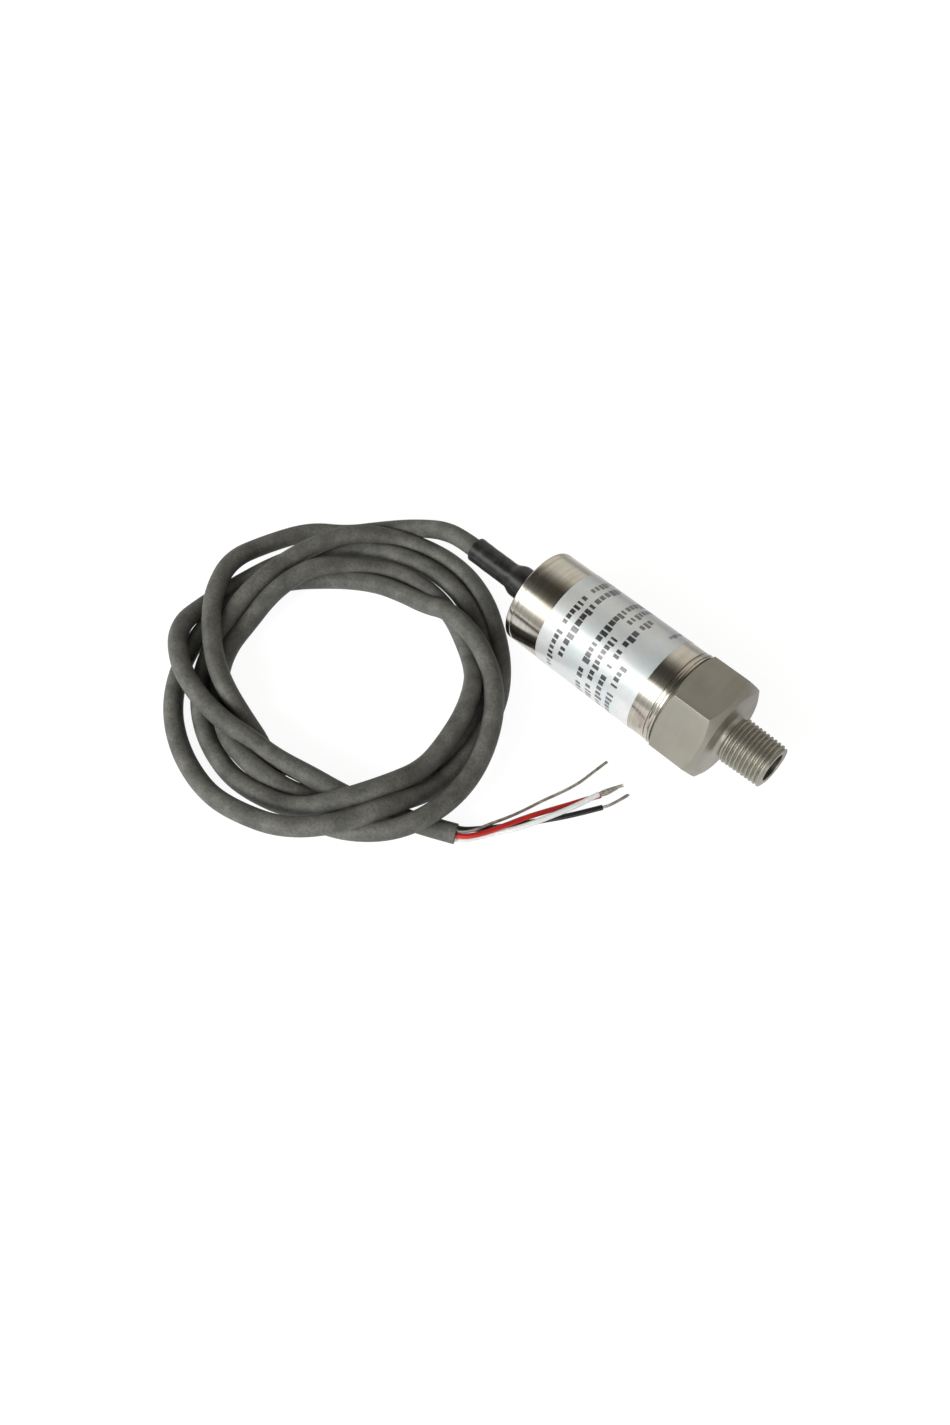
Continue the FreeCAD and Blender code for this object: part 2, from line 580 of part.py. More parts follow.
# The conductors' routes after the cable's cut end. Each starts on the cut face, by its steps to the
# side and up from the cable's middle, and lies on the table or over the conductors that it crosses.
# Its bare strands end at the last point.
CONDUCTORS = {
    "black": ("conductor_radius", (0.75, -0.7), [
        (4.9, -47.2, 0.9), (7.6, -42.9, 0.6), (11.3, -37.6, 0.65), (15.4, -32, 0.6), (18.9, -25.8, 0.6)],
        (21.3, -20, 0.4)),
    "red": ("conductor_radius", (-0.6, 0.7), [
        (5.6, -48.2, 2.6), (7.3, -43.9, 2.2), (9.5, -37.7, 1.4), (12.3, -31.6, 0.65), (15.5, -24.7, 0.6)],
        (19.3, -20.4, 0.4)),
    "white": ("conductor_radius", (-0.75, -0.7), [
        (6.6, -48, 1.6), (8.9, -43.5, 2.1), (11.6, -38.3, 2.2), (13.7, -32.3, 1.7), (16.6, -24, 1.6)],
        (18.9, -18.8, 1.5)),
}
DRAIN = ("drain_radius", (0.45, 0.8), [
    (4.7, -47.5, 2.6), (5.9, -43.4, 1.9), (8, -38, 0.9), (10.2, -30.6, 0.35), (12, -23.4, 0.4),
    (12.8, -17, 0.35)])


def conductors():
    """The cores beyond the cut end of the cable, with their bare strands, and the bare drain wire."""
    end = Vector(*TAIL_ROUTE[-1])
    along = (end - Vector(*TAIL_ROUTE[-2])).normalize()
    aside = Vector(0, 0, 1).cross(along).normalize()
    upward = along.cross(aside)

    def route_of(side, rise, route):
        start = end + aside * side + upward * rise
        return [start, start + along * 2] + [Vector(*p) for p in route]

    for name, (radius, steps, route, tip) in CONDUCTORS.items():
        points = route_of(*steps, route)
        parts.append(tube(name + "_conductor", points, number(radius)))
        heading = (points[-1] - points[-2]).normalize()
        strands = [points[-1], points[-1] + heading * 2, Vector(*tip)]
        parts.append(tube(name + "_strands", strands, number("strand_diameter") / 2))
    radius, steps, route = DRAIN
    parts.append(tube("drain_wire", route_of(*steps, route), number(radius)))


pressure_port()
strain_gauges()
housing_can()
can_seal()
label()
cable_entry()
electronics()
inner_wires()
free_cable()
conductors()
doc.recompute()

for thing in doc.Objects:
    if "Invalid" in thing.State or "Error" in thing.State:
        raise RuntimeError(f"{thing.Label} could not be worked out: {thing.State}")
for part in parts:
    if part.Shape.isNull() or not part.Shape.isValid() or part.Shape.Volume <= 0:
        raise RuntimeError(f"{part.Label} has no sound solid")

os.makedirs("parts", exist_ok=True)
for part in parts:
    part.Shape.exportStep(f"parts/{part.Label}.step")
    box = part.Shape.BoundBox
    print(f"{part.Label}: {len(part.Shape.Solids)} solids, {part.Shape.Volume:.1f} mm3, "
          f"X {box.XMin:.2f} to {box.XMax:.2f}, Z {box.ZMin:.2f} to {box.ZMax:.2f}")
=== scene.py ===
import math

import bpy
from mathutils import Euler, Matrix, Vector


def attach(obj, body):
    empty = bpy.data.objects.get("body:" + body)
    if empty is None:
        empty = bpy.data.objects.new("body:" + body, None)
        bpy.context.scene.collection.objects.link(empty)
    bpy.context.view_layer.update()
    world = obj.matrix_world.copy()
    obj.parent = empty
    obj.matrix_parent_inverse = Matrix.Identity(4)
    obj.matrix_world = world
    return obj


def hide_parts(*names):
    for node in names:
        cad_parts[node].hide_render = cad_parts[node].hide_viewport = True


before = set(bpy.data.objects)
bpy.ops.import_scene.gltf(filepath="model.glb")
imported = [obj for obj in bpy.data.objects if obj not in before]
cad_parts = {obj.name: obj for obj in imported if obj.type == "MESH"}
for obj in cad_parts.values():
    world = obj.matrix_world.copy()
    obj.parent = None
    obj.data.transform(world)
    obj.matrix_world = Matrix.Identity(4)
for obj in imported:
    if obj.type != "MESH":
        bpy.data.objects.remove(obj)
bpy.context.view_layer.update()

# A pressure transmitter lying on a pale table beside its own loosely coiled cable.
# Sizes are in millimetres here and become metres in the meshes. X runs along the transmitter's axis, from
# the cable's exit to the thread, and Z is up.

MM = 0.001
scene = bpy.context.scene
scene.view_settings.view_transform = "Standard"

AXIS_HEIGHT = 11.1
# Diameters of the cable, of a wire with its insulation and of the drain wire.
CABLE = 4.3
CORE = 1.15


# ---------------------------------------------------------------- materials

# The colour sockets of a mix node. They share their names with its sockets of other kinds.
MIX_FIRST, MIX_SECOND, MIX_RESULT = 6, 7, 2


def add(tree, kind, inputs=None, **settings):
    """A shader node with its settings, and its inputs given as values or as sockets to link."""
    node = tree.nodes.new(kind)
    for name, value in settings.items():
        setattr(node, name, value)
    for name, value in (inputs or {}).items():
        if isinstance(value, bpy.types.NodeSocket):
            tree.links.new(value, node.inputs[name])
        else:
            node.inputs[name].default_value = value
    return node


def ramp(tree, factor, stops):
    """A colour ramp from grey values or colours at the given places."""
    node = add(tree, "ShaderNodeValToRGB", {"Fac": factor})
    bands = node.color_ramp.elements
    while len(bands) < len(stops):
        bands.new(0.5)
    for band, (place, shade) in zip(bands, stops):
        band.position = place
        shade = (shade, shade, shade) if isinstance(shade, (int, float)) else shade
        band.color = (*shade, 1)
    return node.outputs["Color"]


def noise(tree, scale, detail=4, stretch=(1, 1, 1), roughness=0.5):
    """Noise over the object's own place, drawn out along its axes by the stretch."""
    place = add(tree, "ShaderNodeTexCoord").outputs["Object"]
    spread = add(tree, "ShaderNodeMapping", {"Vector": place, "Scale": stretch})
    return add(tree, "ShaderNodeTexNoise", {
        "Vector": spread.outputs["Vector"], "Scale": scale, "Detail": detail,
        "Roughness": roughness}).outputs["Fac"]


def blend_of(tree, factor, first, second):
    """A mix of two colours by a factor."""
    return add(tree, "ShaderNodeMix", {"Factor": factor, MIX_FIRST: first, MIX_SECOND: second},
               data_type="RGBA").outputs[MIX_RESULT]


def maths(tree, operation, *values):
    """The result of one operation on up to three values."""
    return add(tree, "ShaderNodeMath", dict(enumerate(values)), operation=operation).outputs[0]


def stretched(tree, value, low, high, to_low=0.0, to_high=1.0):
    """A value taken from one range to another and held inside it."""
    return add(tree, "ShaderNodeMapRange", {
        "Value": value, "From Min": low, "From Max": high, "To Min": to_low,
        "To Max": to_high}).outputs["Result"]


def scaled(tree, color, factor):
    """A colour made lighter or darker by a factor."""
    return add(tree, "ShaderNodeVectorMath", {0: color, "Scale": factor}, operation="SCALE").outputs[0]


def bumped(tree, height, distance):
    """A normal from a height, which counts over a distance in millimetres."""
    return add(tree, "ShaderNodeBump", {"Height": height, "Distance": distance * MM}).outputs["Normal"]


def material(name, color, roughness, metallic=0.0, **more):
    """A plain principled material and its node tree, for the detail that follows."""
    made = bpy.data.materials.new(name)
    made.use_nodes = True
    made.diffuse_color = (*color, 1)
    shader = made.node_tree.nodes["Principled BSDF"]
    shader.inputs["Base Color"].default_value = (*color, 1)
    shader.inputs["Roughness"].default_value = roughness
    shader.inputs["Metallic"].default_value = metallic
    for key, value in more.items():
        shader.inputs[key.replace("_", " ")].default_value = value
    return made, made.node_tree, shader


def link(tree, output, shader, name):
    """Feeds one input of the shader."""
    tree.links.new(output, shader.inputs[name])


def group(name, inputs, outputs):
    """A new node group: its tree, what it is given and what it puts out."""
    tree = bpy.data.node_groups.new(name, "ShaderNodeTree")
    for label, value in inputs:
        kind = "NodeSocketColor" if isinstance(value, tuple) else "NodeSocketFloat"
        tree.interface.new_socket(label, in_out="INPUT", socket_type=kind).default_value = value
    for label, kind in outputs:
        tree.interface.new_socket(label, in_out="OUTPUT", socket_type=kind)
    return tree, tree.nodes.new("NodeGroupInput").outputs, tree.nodes.new("NodeGroupOutput").inputs


def mottled_tone():
    """Two tones in soft patches under a fine grain, and the grain's height."""
    tree, given, out = group("mottled_tone", (
        ("Dark", (0.05, 0.05, 0.05, 1)), ("Light", (0.08, 0.08, 0.08, 1)), ("Patches", 190.0),
        ("Grain", 2600.0), ("Grain Depth", 0.15)),
        (("Color", "NodeSocketColor"), ("Height", "NodeSocketFloat")))
    patches = stretched(tree, noise(tree, given["Patches"]), 0.35, 0.68)
    tone = blend_of(tree, patches, given["Dark"], given["Light"])
    fine = noise(tree, given["Grain"], roughness=0.7)
    swing = stretched(tree, fine, 0.36, 0.64, to_low=-1.0)
    shade = maths(tree, "MULTIPLY_ADD", swing, given["Grain Depth"], 1.0)
    tree.links.new(scaled(tree, tone, shade), out["Color"])
    tree.links.new(fine, out["Height"])
    return tree


def lathe_marks():
    """Fine marks round the X axis, faint stains and an uneven polish."""
    tree, given, out = group("lathe_marks", (
        ("Metal", (0.6, 0.6, 0.6, 1)), ("Stain", (0.5, 0.5, 0.5, 1)), ("Roughness", 0.3), ("Streaks", 0.1)),
        (("Color", "NodeSocketColor"), ("Roughness", "NodeSocketFloat"), ("Height", "NodeSocketFloat")))
    marks = noise(tree, 1500, detail=3, stretch=(1, 0.05, 0.05))
    stains = noise(tree, 130, detail=5)
    tone = blend_of(tree, stretched(tree, stains, 0.42, 0.72), given["Metal"], given["Stain"])
    swing = stretched(tree, marks, 0.3, 0.7, to_low=-1.0)
    streaks = maths(tree, "MULTIPLY_ADD", swing, given["Streaks"], 1.0)
    uneven = stretched(tree, stains, 0.0, 1.0, to_low=0.75, to_high=1.3)
    polish = maths(tree, "MULTIPLY", uneven, given["Roughness"])
    tree.links.new(scaled(tree, tone, streaks), out["Color"])
    tree.links.new(polish, out["Roughness"])
    tree.links.new(marks, out["Height"])
    return tree


MOTTLED_TONE = mottled_tone()
LATHE_MARKS = lathe_marks()


def turned_metal(name, metal, stain, roughness, streaks, depth, metallic=1.0):
    """Metal from the lathe. Its marks change its tone by the streaks and are as deep as given."""
    made, tree, shader = material(name, metal, roughness, metallic)
    marks = add(tree, "ShaderNodeGroup", {
        "Metal": (*metal, 1), "Stain": (*stain, 1), "Roughness": roughness, "Streaks": streaks},
        node_tree=LATHE_MARKS)
    link(tree, marks.outputs["Color"], shader, "Base Color")
    link(tree, marks.outputs["Roughness"], shader, "Roughness")
    link(tree, bumped(tree, marks.outputs["Height"], depth), shader, "Normal")
    return made


def mottled(name, dark, light, patches, grain, grain_depth, bump, roughness, metallic=0.0, **more):
    """A material of two tones with a fine grain. The grain stands as high as the bump."""
    made, tree, shader = material(name, light, roughness, metallic, **more)
    tone = add(tree, "ShaderNodeGroup", {
        "Dark": (*dark, 1), "Light": (*light, 1), "Patches": patches, "Grain": grain,
        "Grain Depth": grain_depth}, node_tree=MOTTLED_TONE)
    link(tree, tone.outputs["Color"], shader, "Base Color")
    link(tree, bumped(tree, tone.outputs["Height"], bump), shader, "Normal")
    return made


def insulation(name, dark, light, grain_depth, **more):
    """The smooth plastic round a wire."""
    return mottled(name, dark, light, patches=300, grain=700, grain_depth=grain_depth, bump=0.05,
                   roughness=0.32, **more)


CAN_STEEL = turned_metal("polished_can_steel", (0.68, 0.655, 0.59), (0.56, 0.50, 0.41),
                         roughness=0.16, streaks=0.11, depth=0.010)
PORT_STEEL = turned_metal("machined_port_steel", (0.42, 0.405, 0.355), (0.37, 0.35, 0.30),
                          roughness=0.42, streaks=0.03, depth=0.006, metallic=0.9)
# A rougher steel for the bore's wall. Its colour is painted dark, as painted shade deep in the hole.
BORE_PAINTED_SHADE_STEEL = turned_metal("bore_steel_painted_shade", (0.16, 0.15, 0.13), (0.11, 0.10, 0.09),
                             roughness=0.5, streaks=0.1, depth=0.01)
BRASS = turned_metal("ferrule_brass", (0.66, 0.50, 0.24), (0.50, 0.36, 0.16),
                     roughness=0.32, streaks=0.08, depth=0.008)
GOLD = turned_metal("gold_plated_pins", (0.83, 0.63, 0.30), (0.74, 0.54, 0.24),
                    roughness=0.26, streaks=0.04, depth=0.004)
FILM = mottled("silver_label_film", (0.58, 0.64, 0.665), (0.70, 0.705, 0.70),
               patches=150, grain=900, grain_depth=0.03, bump=0.006, roughness=0.4, metallic=0.5,
               Coat_Weight=1.0, Coat_Roughness=0.2, Coat_IOR=1.9)
INK = mottled("printed_ink", (0.010, 0.010, 0.012), (0.03, 0.03, 0.033),
              patches=900, grain=1800, grain_depth=0.3, bump=0.004, roughness=0.45,
              Coat_Weight=1.0, Coat_Roughness=0.22, Coat_IOR=2.3)
JACKET = mottled("grey_cable_jacket", (0.060, 0.060, 0.054), (0.106, 0.105, 0.095),
                 patches=230, grain=1700, grain_depth=0.24, bump=0.05, roughness=0.56)
SLEEVING = mottled("shrunk_black_sleeving", (0.010, 0.010, 0.010), (0.024, 0.024, 0.023),
                   patches=420, grain=900, grain_depth=0.3, bump=0.035, roughness=0.28)
STRANDS = mottled("tinned_strands", (0.34, 0.30, 0.25), (0.66, 0.63, 0.58),
                  patches=500, grain=3000, grain_depth=0.1, bump=0.004, roughness=0.34, metallic=1.0)
RED = insulation("red_insulation", (0.34, 0.011, 0.010), (0.43, 0.016, 0.014), 0.04)
WHITE = insulation("white_insulation", (0.68, 0.645, 0.60), (0.76, 0.725, 0.68), 0.02, Subsurface_Weight=0.25)
BLACK = insulation("black_insulation", (0.009, 0.009, 0.010), (0.014, 0.014, 0.015), 0.1)
RUBBER = mottled("seal_rubber", (0.010, 0.010, 0.010), (0.018, 0.018, 0.017),
                 patches=400, grain=1600, grain_depth=0.2, bump=0.02, roughness=0.6)
SLEEVE_PLASTIC = mottled("natural_sleeve_plastic", (0.70, 0.67, 0.58), (0.78, 0.75, 0.67),
                         patches=200, grain=1500, grain_depth=0.04, bump=0.02, roughness=0.45)
BOARD = mottled("green_board_mask", (0.010, 0.085, 0.035), (0.014, 0.12, 0.05),
                patches=600, grain=1400, grain_depth=0.15, bump=0.02, roughness=0.35,
                Coat_Weight=0.5, Coat_Roughness=0.2)
CHIP = mottled("moulded_chip_black", (0.014, 0.014, 0.015), (0.024, 0.024, 0.025),
               patches=700, grain=4000, grain_depth=0.25, bump=0.015, roughness=0.55)
CERAMIC = mottled("tan_capacitor_ceramic", (0.42, 0.29, 0.17), (0.52, 0.38, 0.24),
                  patches=900, grain=3000, grain_depth=0.08, bump=0.01, roughness=0.4)
SILICON = mottled("gauge_silicon", (0.07, 0.075, 0.09), (0.11, 0.115, 0.135),
                  patches=900, grain=3000, grain_depth=0.05, bump=0.002, roughness=0.18, metallic=0.4)

# The pieces inside the can keep their own solids and get these finishes.
INSIDE = {
    "can_seal": RUBBER, "cable_ferrule": BRASS, "crimp_collar": BRASS, "cable_entry": JACKET,
    "insulating_sleeve": SLEEVE_PLASTIC, "board_spacer": SLEEVE_PLASTIC, "terminal_board": BOARD,
    "main_board": BOARD, "link_pins": GOLD, "gauge_leads": GOLD, "signal_chip": CHIP, "resistors": CHIP,
    "voltage_regulator": CHIP, "capacitors": CERAMIC, "board_leads": RED, "strain_gauges": SILICON,
}
for name, finish in INSIDE.items():
    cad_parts[name].data.materials[0] = finish


# ---------------------------------------------------------------- meshes

TURNED_SIDES = 192
# An edge that turns by more than this many degrees stays sharp.
CRISP_ANGLE = 32
# A rounded corner takes at most this share of the edges beside it, and is drawn through these steps.
ROUND_SHARE = 0.45
ROUND_STEPS = (0, 0.2, 0.4, 0.6, 0.8, 1)


def mesh_piece(name, corners, faces, look):
    """A piece from its corners in millimetres and its faces."""
    mesh = bpy.data.meshes.new(name)
    mesh.from_pydata([tuple(c * MM for c in corner) for corner in corners], [], faces)
    mesh.materials.append(look)
    mesh.shade_smooth()
    piece = bpy.data.objects.new(name, mesh)
    scene.collection.objects.link(piece)
    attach(piece, "root")
    return piece


def around(x, radius, angle):
    """The place at an angle round the transmitter's axis, in degrees from +Y towards +Z."""
    a = math.radians(angle)
    return (x, radius * math.cos(a), AXIS_HEIGHT + radius * math.sin(a))


def skin(rings, closed=False):
    """Quads between rings of equal length, and from the last ring to the first if closed."""
    size = len(rings[0])
    corners = [corner for ring in rings for corner in ring]
    pairs = [(i, i + 1) for i in range(len(rings) - 1)] + ([(len(rings) - 1, 0)] if closed else [])
    faces = [(a * size + j, a * size + (j + 1) % size, b * size + (j + 1) % size, b * size + j)
             for a, b in pairs for j in range(size)]
    return corners, faces


def softened(profile):
    """A profile in which each corner that has a third value is cut back by it and rounded."""
    out = []
    for i, point in enumerate(profile):
        if len(point) == 2:
            out.append(point)
            continue
        here = Vector(point[:2])
        back, on = Vector(profile[i - 1][:2]) - here, Vector(profile[i + 1][:2]) - here
        reach = min(point[2], ROUND_SHARE * back.length, ROUND_SHARE * on.length)
        first, last = here + back.normalized() * reach, here + on.normalized() * reach
        for t in ROUND_STEPS:
            out.append(tuple(first * (1 - t) ** 2 + here * 2 * t * (1 - t) + last * t * t))
    return out


def turned(name, profile_at, look, angles=None, closed=False, crisp=CRISP_ANGLE):
    """A piece turned about the transmitter's axis, from its stations and radii at each angle.

    It is a closed ring, or else has a flat disc at each end.
    """
    angles = angles or [360 * k / TURNED_SIDES for k in range(TURNED_SIDES)]
    profiles = [softened(profile_at(angle)) for angle in angles]
    rings = [[around(x, r, angle) for (x, r), angle in zip(ring, angles)] for ring in zip(*profiles)]
    corners, faces = skin(rings, closed)
    if not closed:
        size = len(angles)
        faces += [tuple(reversed(range(size))), tuple(len(corners) - size + k for k in range(size))]
    piece = mesh_piece(name, corners, faces, look)
    keep_corners_crisp(piece, crisp)
    return piece


def keep_corners_crisp(piece, angle=CRISP_ANGLE):
    """Marks the edges that turn by more than the angle as sharp, so that flats stay flat."""
    piece.data.set_sharp_from_angle(angle=math.radians(angle))


# ---------------------------------------------------------------- port

CAN_RADIUS = 10.95
EDGE_ROUND = 0.2

SPIGOT_START, SPIGOT_RADIUS, SPIGOT_BEVEL = 6.3, 6.5, 0.5
PLUG_START, PLUG_RADIUS = 12.3, 10.1
SEAL_START, SEAL_END, SEAL_DEPTH = 14.45, 16.15, 1.1

HEX_START, HEX_END = 18.3, 29.6
HEX_RADIUS = 11.1
HEX_CORNER_ROUND = 0.4
HEX_FACE_RADIUS = 9.85
# Rings on the hexagon's flat end that keep its shading even up to the neck.
HEX_FACE_RINGS = (7.5, 6.2)
# Degrees to each side of a hexagon's corner at which the port's mesh has further corners.
CLOSE_ANGLES = (0.2, 0.45, 0.7, 1, 1.35)
CHAMFER_RISE = math.tan(math.radians(30))
CHAMFER_ROUND = 0.12
SEAT_ROUND = 0.1
FACE_ROUND = 0.3

NECK_RADIUS = 4.6
NECK_FILLET = 1.0
NECK_LENGTH = 1.2

THREAD_END = 41
TIP_RADIUS = 4.9
# The thread's radius grows by one millimetre over this length.
TAPER_RUN = 32
THREAD_PITCH = 0.941
THREAD_DEPTH = 0.55
GROOVE_SHARPNESS = 1.3
THREAD_STATIONS = 126
LEAD_IN = 0.3

BORE_RADIUS = 3.2
BORE_START = 6.8
BORE_ROUND = 0.3
# Rings along the bore, from its mouth inwards.
BORE_RINGS = (36, 20)
PORT_CRISP_ANGLE = 40


def hex_radius(angle):
    """The hexagon's outline at an angle from +Y, with a flat on top and a little rounding at its corners."""
    from_corner = abs((angle + 30) % 60 - 30)
    delta = math.radians(from_corner)
    flat = HEX_RADIUS / math.cos(math.radians(30 - from_corner))
    middle = (HEX_RADIUS - HEX_CORNER_ROUND) / math.cos(math.radians(30))
    inside = HEX_CORNER_ROUND ** 2 - (middle * math.sin(delta)) ** 2
    if inside <= 0:
        return flat
    return min(flat, middle * math.cos(delta) + math.sqrt(inside))


def crest_radius(x):
    """The tapered thread's outline, from the neck's fillet to the lead-in at its end."""
    from_hex = x - HEX_END
    if from_hex < NECK_FILLET:
        return NECK_RADIUS + NECK_FILLET - math.sqrt(NECK_FILLET ** 2 - (NECK_FILLET - from_hex) ** 2)
    taper = TIP_RADIUS + (THREAD_END - x) / TAPER_RUN
    run_out = NECK_RADIUS + max(from_hex - NECK_LENGTH, 0)
    return min(taper, run_out, TIP_RADIUS - LEAD_IN + THREAD_END - x)


def thread_radius(x, angle):
    """The crest's outline less the groove of a right-handed thread."""
    groove = 0.5 + 0.5 * math.cos(2 * math.pi * (x / THREAD_PITCH - angle / 360))
    fade = min(max((x - HEX_END - NECK_LENGTH) / THREAD_PITCH, 0), 1)
    return crest_radius(x) - THREAD_DEPTH * fade * groove ** GROOVE_SHARPNESS


def port_profile(angle):
    """Stations and radii over the whole port at one angle."""
    corner = hex_radius(angle)
    plug = [(SPIGOT_START, SPIGOT_RADIUS - SPIGOT_BEVEL), (SPIGOT_START, SPIGOT_RADIUS, EDGE_ROUND),
            (PLUG_START, SPIGOT_RADIUS, EDGE_ROUND), (PLUG_START, PLUG_RADIUS, EDGE_ROUND),
            (SEAL_START, PLUG_RADIUS), (SEAL_START, PLUG_RADIUS - SEAL_DEPTH),
            (SEAL_END, PLUG_RADIUS - SEAL_DEPTH), (SEAL_END, PLUG_RADIUS), (HEX_START, PLUG_RADIUS)]
    hexagon = [(HEX_START, CAN_RADIUS, SEAT_ROUND),
               (HEX_START + (corner - CAN_RADIUS) * CHAMFER_RISE, corner, CHAMFER_ROUND),
               (HEX_END - (corner - HEX_FACE_RADIUS) * CHAMFER_RISE, corner, CHAMFER_ROUND),
               (HEX_END, HEX_FACE_RADIUS, FACE_ROUND)] + [(HEX_END, ring) for ring in HEX_FACE_RINGS]
    stations = [HEX_END + (THREAD_END - HEX_END) * k / THREAD_STATIONS for k in range(THREAD_STATIONS + 1)]
    thread = [(x, thread_radius(x, angle)) for x in stations]
    mouth = [(THREAD_END, BORE_RADIUS, EDGE_ROUND)] + [(x, BORE_RADIUS) for x in BORE_RINGS]
    mouth += [(BORE_START, BORE_RADIUS, BORE_ROUND), (BORE_START, BORE_RADIUS - 1)]
    return plug + hexagon + thread + mouth


def port():
    """The port in one piece, with its thread. The bore's wall gets a rougher steel whose colour is painted
    dark, as painted shade in the hole.
    """
    near_corners = [60 * corner + side * angle for corner in range(6) for side in (-1, 1)
                    for angle in CLOSE_ANGLES]
    piece = turned("port_with_thread", port_profile, PORT_STEEL,
                   angles=sorted([2 * k for k in range(180)] + near_corners), crisp=PORT_CRISP_ANGLE)
    # The faces inside the bore get the steel with painted shade.
    piece.data.materials.append(BORE_PAINTED_SHADE_STEEL)
    for face in piece.data.polygons:
        middle = face.center / MM
        if math.hypot(middle.y, middle.z - AXIS_HEIGHT) < BORE_RADIUS and middle.x > BORE_START:
            face.material_index = 1
    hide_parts("pressure_port")


# ---------------------------------------------------------------- can, label and boot

CAN_START, CAN_END = -22.2, 17.9
CAN_WALL = 0.8
CAN_HOLE = 3.15
RIM_ROUND = 1.1
RIM_GROOVE = 0.25
LIP_RISE = 0.12
LIP_GROOVE = 0.4
LABEL_START, LABEL_END, LABEL_TURN = -13.2, 12.3, 345
LABEL_PARTS = 230
LABEL_FILM = 0.08
PRINT_HEIGHT = 0.09
BOOT_END = -41


def can():
    """The polished can with its rounded rim, its rolled lip and its open inside."""
    inner = CAN_RADIUS - CAN_WALL
    lip = CAN_RADIUS + LIP_RISE
    rear = [(CAN_START, CAN_HOLE), (CAN_START, 9), (CAN_START, CAN_RADIUS, RIM_ROUND)]
    rim_groove = [(-20.85, CAN_RADIUS, 0.05), (-20.72, CAN_RADIUS - RIM_GROOVE),
                  (-20.56, CAN_RADIUS - RIM_GROOVE), (-20.4, CAN_RADIUS, 0.08)]
    body = [(-14, CAN_RADIUS), (12, CAN_RADIUS)]
    first_groove = [(16.25, CAN_RADIUS, 0.1), (16.33, CAN_RADIUS - LIP_GROOVE),
                    (16.58, CAN_RADIUS - LIP_GROOVE)]
    bead = [(16.66, lip - 0.1), (16.85, lip), (17.1, lip + 0.04), (17.3, lip), (17.4, lip - 0.1)]
    last_groove = [(17.44, lip - LIP_GROOVE), (17.62, lip - LIP_GROOVE), (17.68, lip - 0.08)]
    inside = [(CAN_END, lip - 0.16), (CAN_END, inner), (CAN_START + CAN_WALL, inner, 0.2),
              (CAN_START + CAN_WALL, CAN_HOLE)]
    profile = rear + rim_groove + body + first_groove + bead + last_groove + inside
    piece = turned("polished_can", lambda angle: profile, CAN_STEEL, closed=True)
    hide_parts("housing_can")


def label():
    """The film on the can. Its two ends stop short of each other on the far side."""
    inner, outer = CAN_RADIUS, CAN_RADIUS + LABEL_FILM
    section = [(LABEL_START, inner), (LABEL_START, outer), (LABEL_END, outer), (LABEL_END, inner)]
    angles = [LABEL_TURN * k / LABEL_PARTS for k in range(LABEL_PARTS + 1)]
    rings = [[around(x, r, a) for x, r in section] for a in angles]
    corners, faces = skin(rings)
    faces += [(0, 1, 2, 3), tuple(len(corners) - 1 - k for k in range(4))]
    piece = mesh_piece("silver_label", corners, faces, FILM)
    keep_corners_crisp(piece)
    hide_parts("label")


def boot():
    """The shrunk boot, a sleeve on the cable that steps up over the ferrule."""
    def uneven(x, angle):
        """How much the sleeve leans before its step and ripples along its length."""
        a = math.radians(angle)
        lean = 0.10 * math.cos(math.radians(angle + 100)) * math.exp(-((x + 33) / 5) ** 2)
        ripple = 0.03 * math.sin(x * 1.7 + a * 2) * math.sin(a * 3 + x * 0.6)
        return lean + ripple if BOOT_END + 0.6 < x < -24 else 0
    outside = [(BOOT_END, 2.45), (BOOT_END, 2.85, 0.25), (-40.3, 2.88), (-39.6, 2.83)]
    outside += [(-39 + 0.5 * k, 2.83) for k in range(17)]
    outside += [(-30.4, 2.85), (-30.0, 2.92), (-29.5, 3.12), (-29.0, 3.36), (-28.5, 3.57),
                (-28.0, 3.70), (-27.5, 3.76), (-26.5, 3.77), (-25, 3.75), (CAN_START, 3.75)]
    inside = [(CAN_START, 3.05), (-28, 3.05), (-30.1, 2.15), (BOOT_END, 2.15)]
    piece = turned("shrunk_boot", lambda angle: [
        (point[0], point[1] + uneven(point[0], angle), *point[2:]) for point in outside] + inside,
        SLEEVING, closed=True)
    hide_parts("heat_shrink_boot")


# The rows of print on the label. Each runs between two stations. Its words are given by the angle of the
# first letter, the number of letters, the degrees from one to the next and the inked share of them. A plain
# block stands in each letter's place.
PRINT = (
    (-9.9, -8.4, ((212, 1, 7, 0.7), (190, 8, 7.1, 0.64), (128, 6, 6.6, 0.7), (80, 10, 6.6, 0.7))),
    (-7.4, -5.7, ((163, 15, 8.2, 0.8),)),
    (-1.8, -0.1, ((215, 5, 7.6, 0.7), (171, 2, 7.6, 0.7), (150, 16, 7.1, 0.8))),
    (0.8, 2.4, ((215, 6, 7.4, 0.7), (165, 2, 7.4, 0.7), (149, 7, 6.2, 0.7), (86, 8, 6.6, 0.75))),
    (3.5, 5.2, ((215, 9, 7.6, 0.7), (138, 1, 6, 0.6), (126, 2, 6, 0.6), (110, 3, 7.6, 0.8),
                (82, 3, 6.8, 0.75))),
    (6.2, 7.8, ((212, 7, 7.6, 0.7), (153, 4, 6.8, 0.7))),
    (9.3, 10.3, ((68, 10, 3.1, 0.7),)),
)
# The blocks' heights and widths, as shares of a letter's room, come round in turn.
BLOCK_HEIGHTS = (1, 0.72, 0.78, 0.72, 1, 0.78, 0.72, 1, 0.78)
BLOCK_WIDTHS = (1, 0.8, 1.1, 0.9, 0.6, 1.05, 0.95)


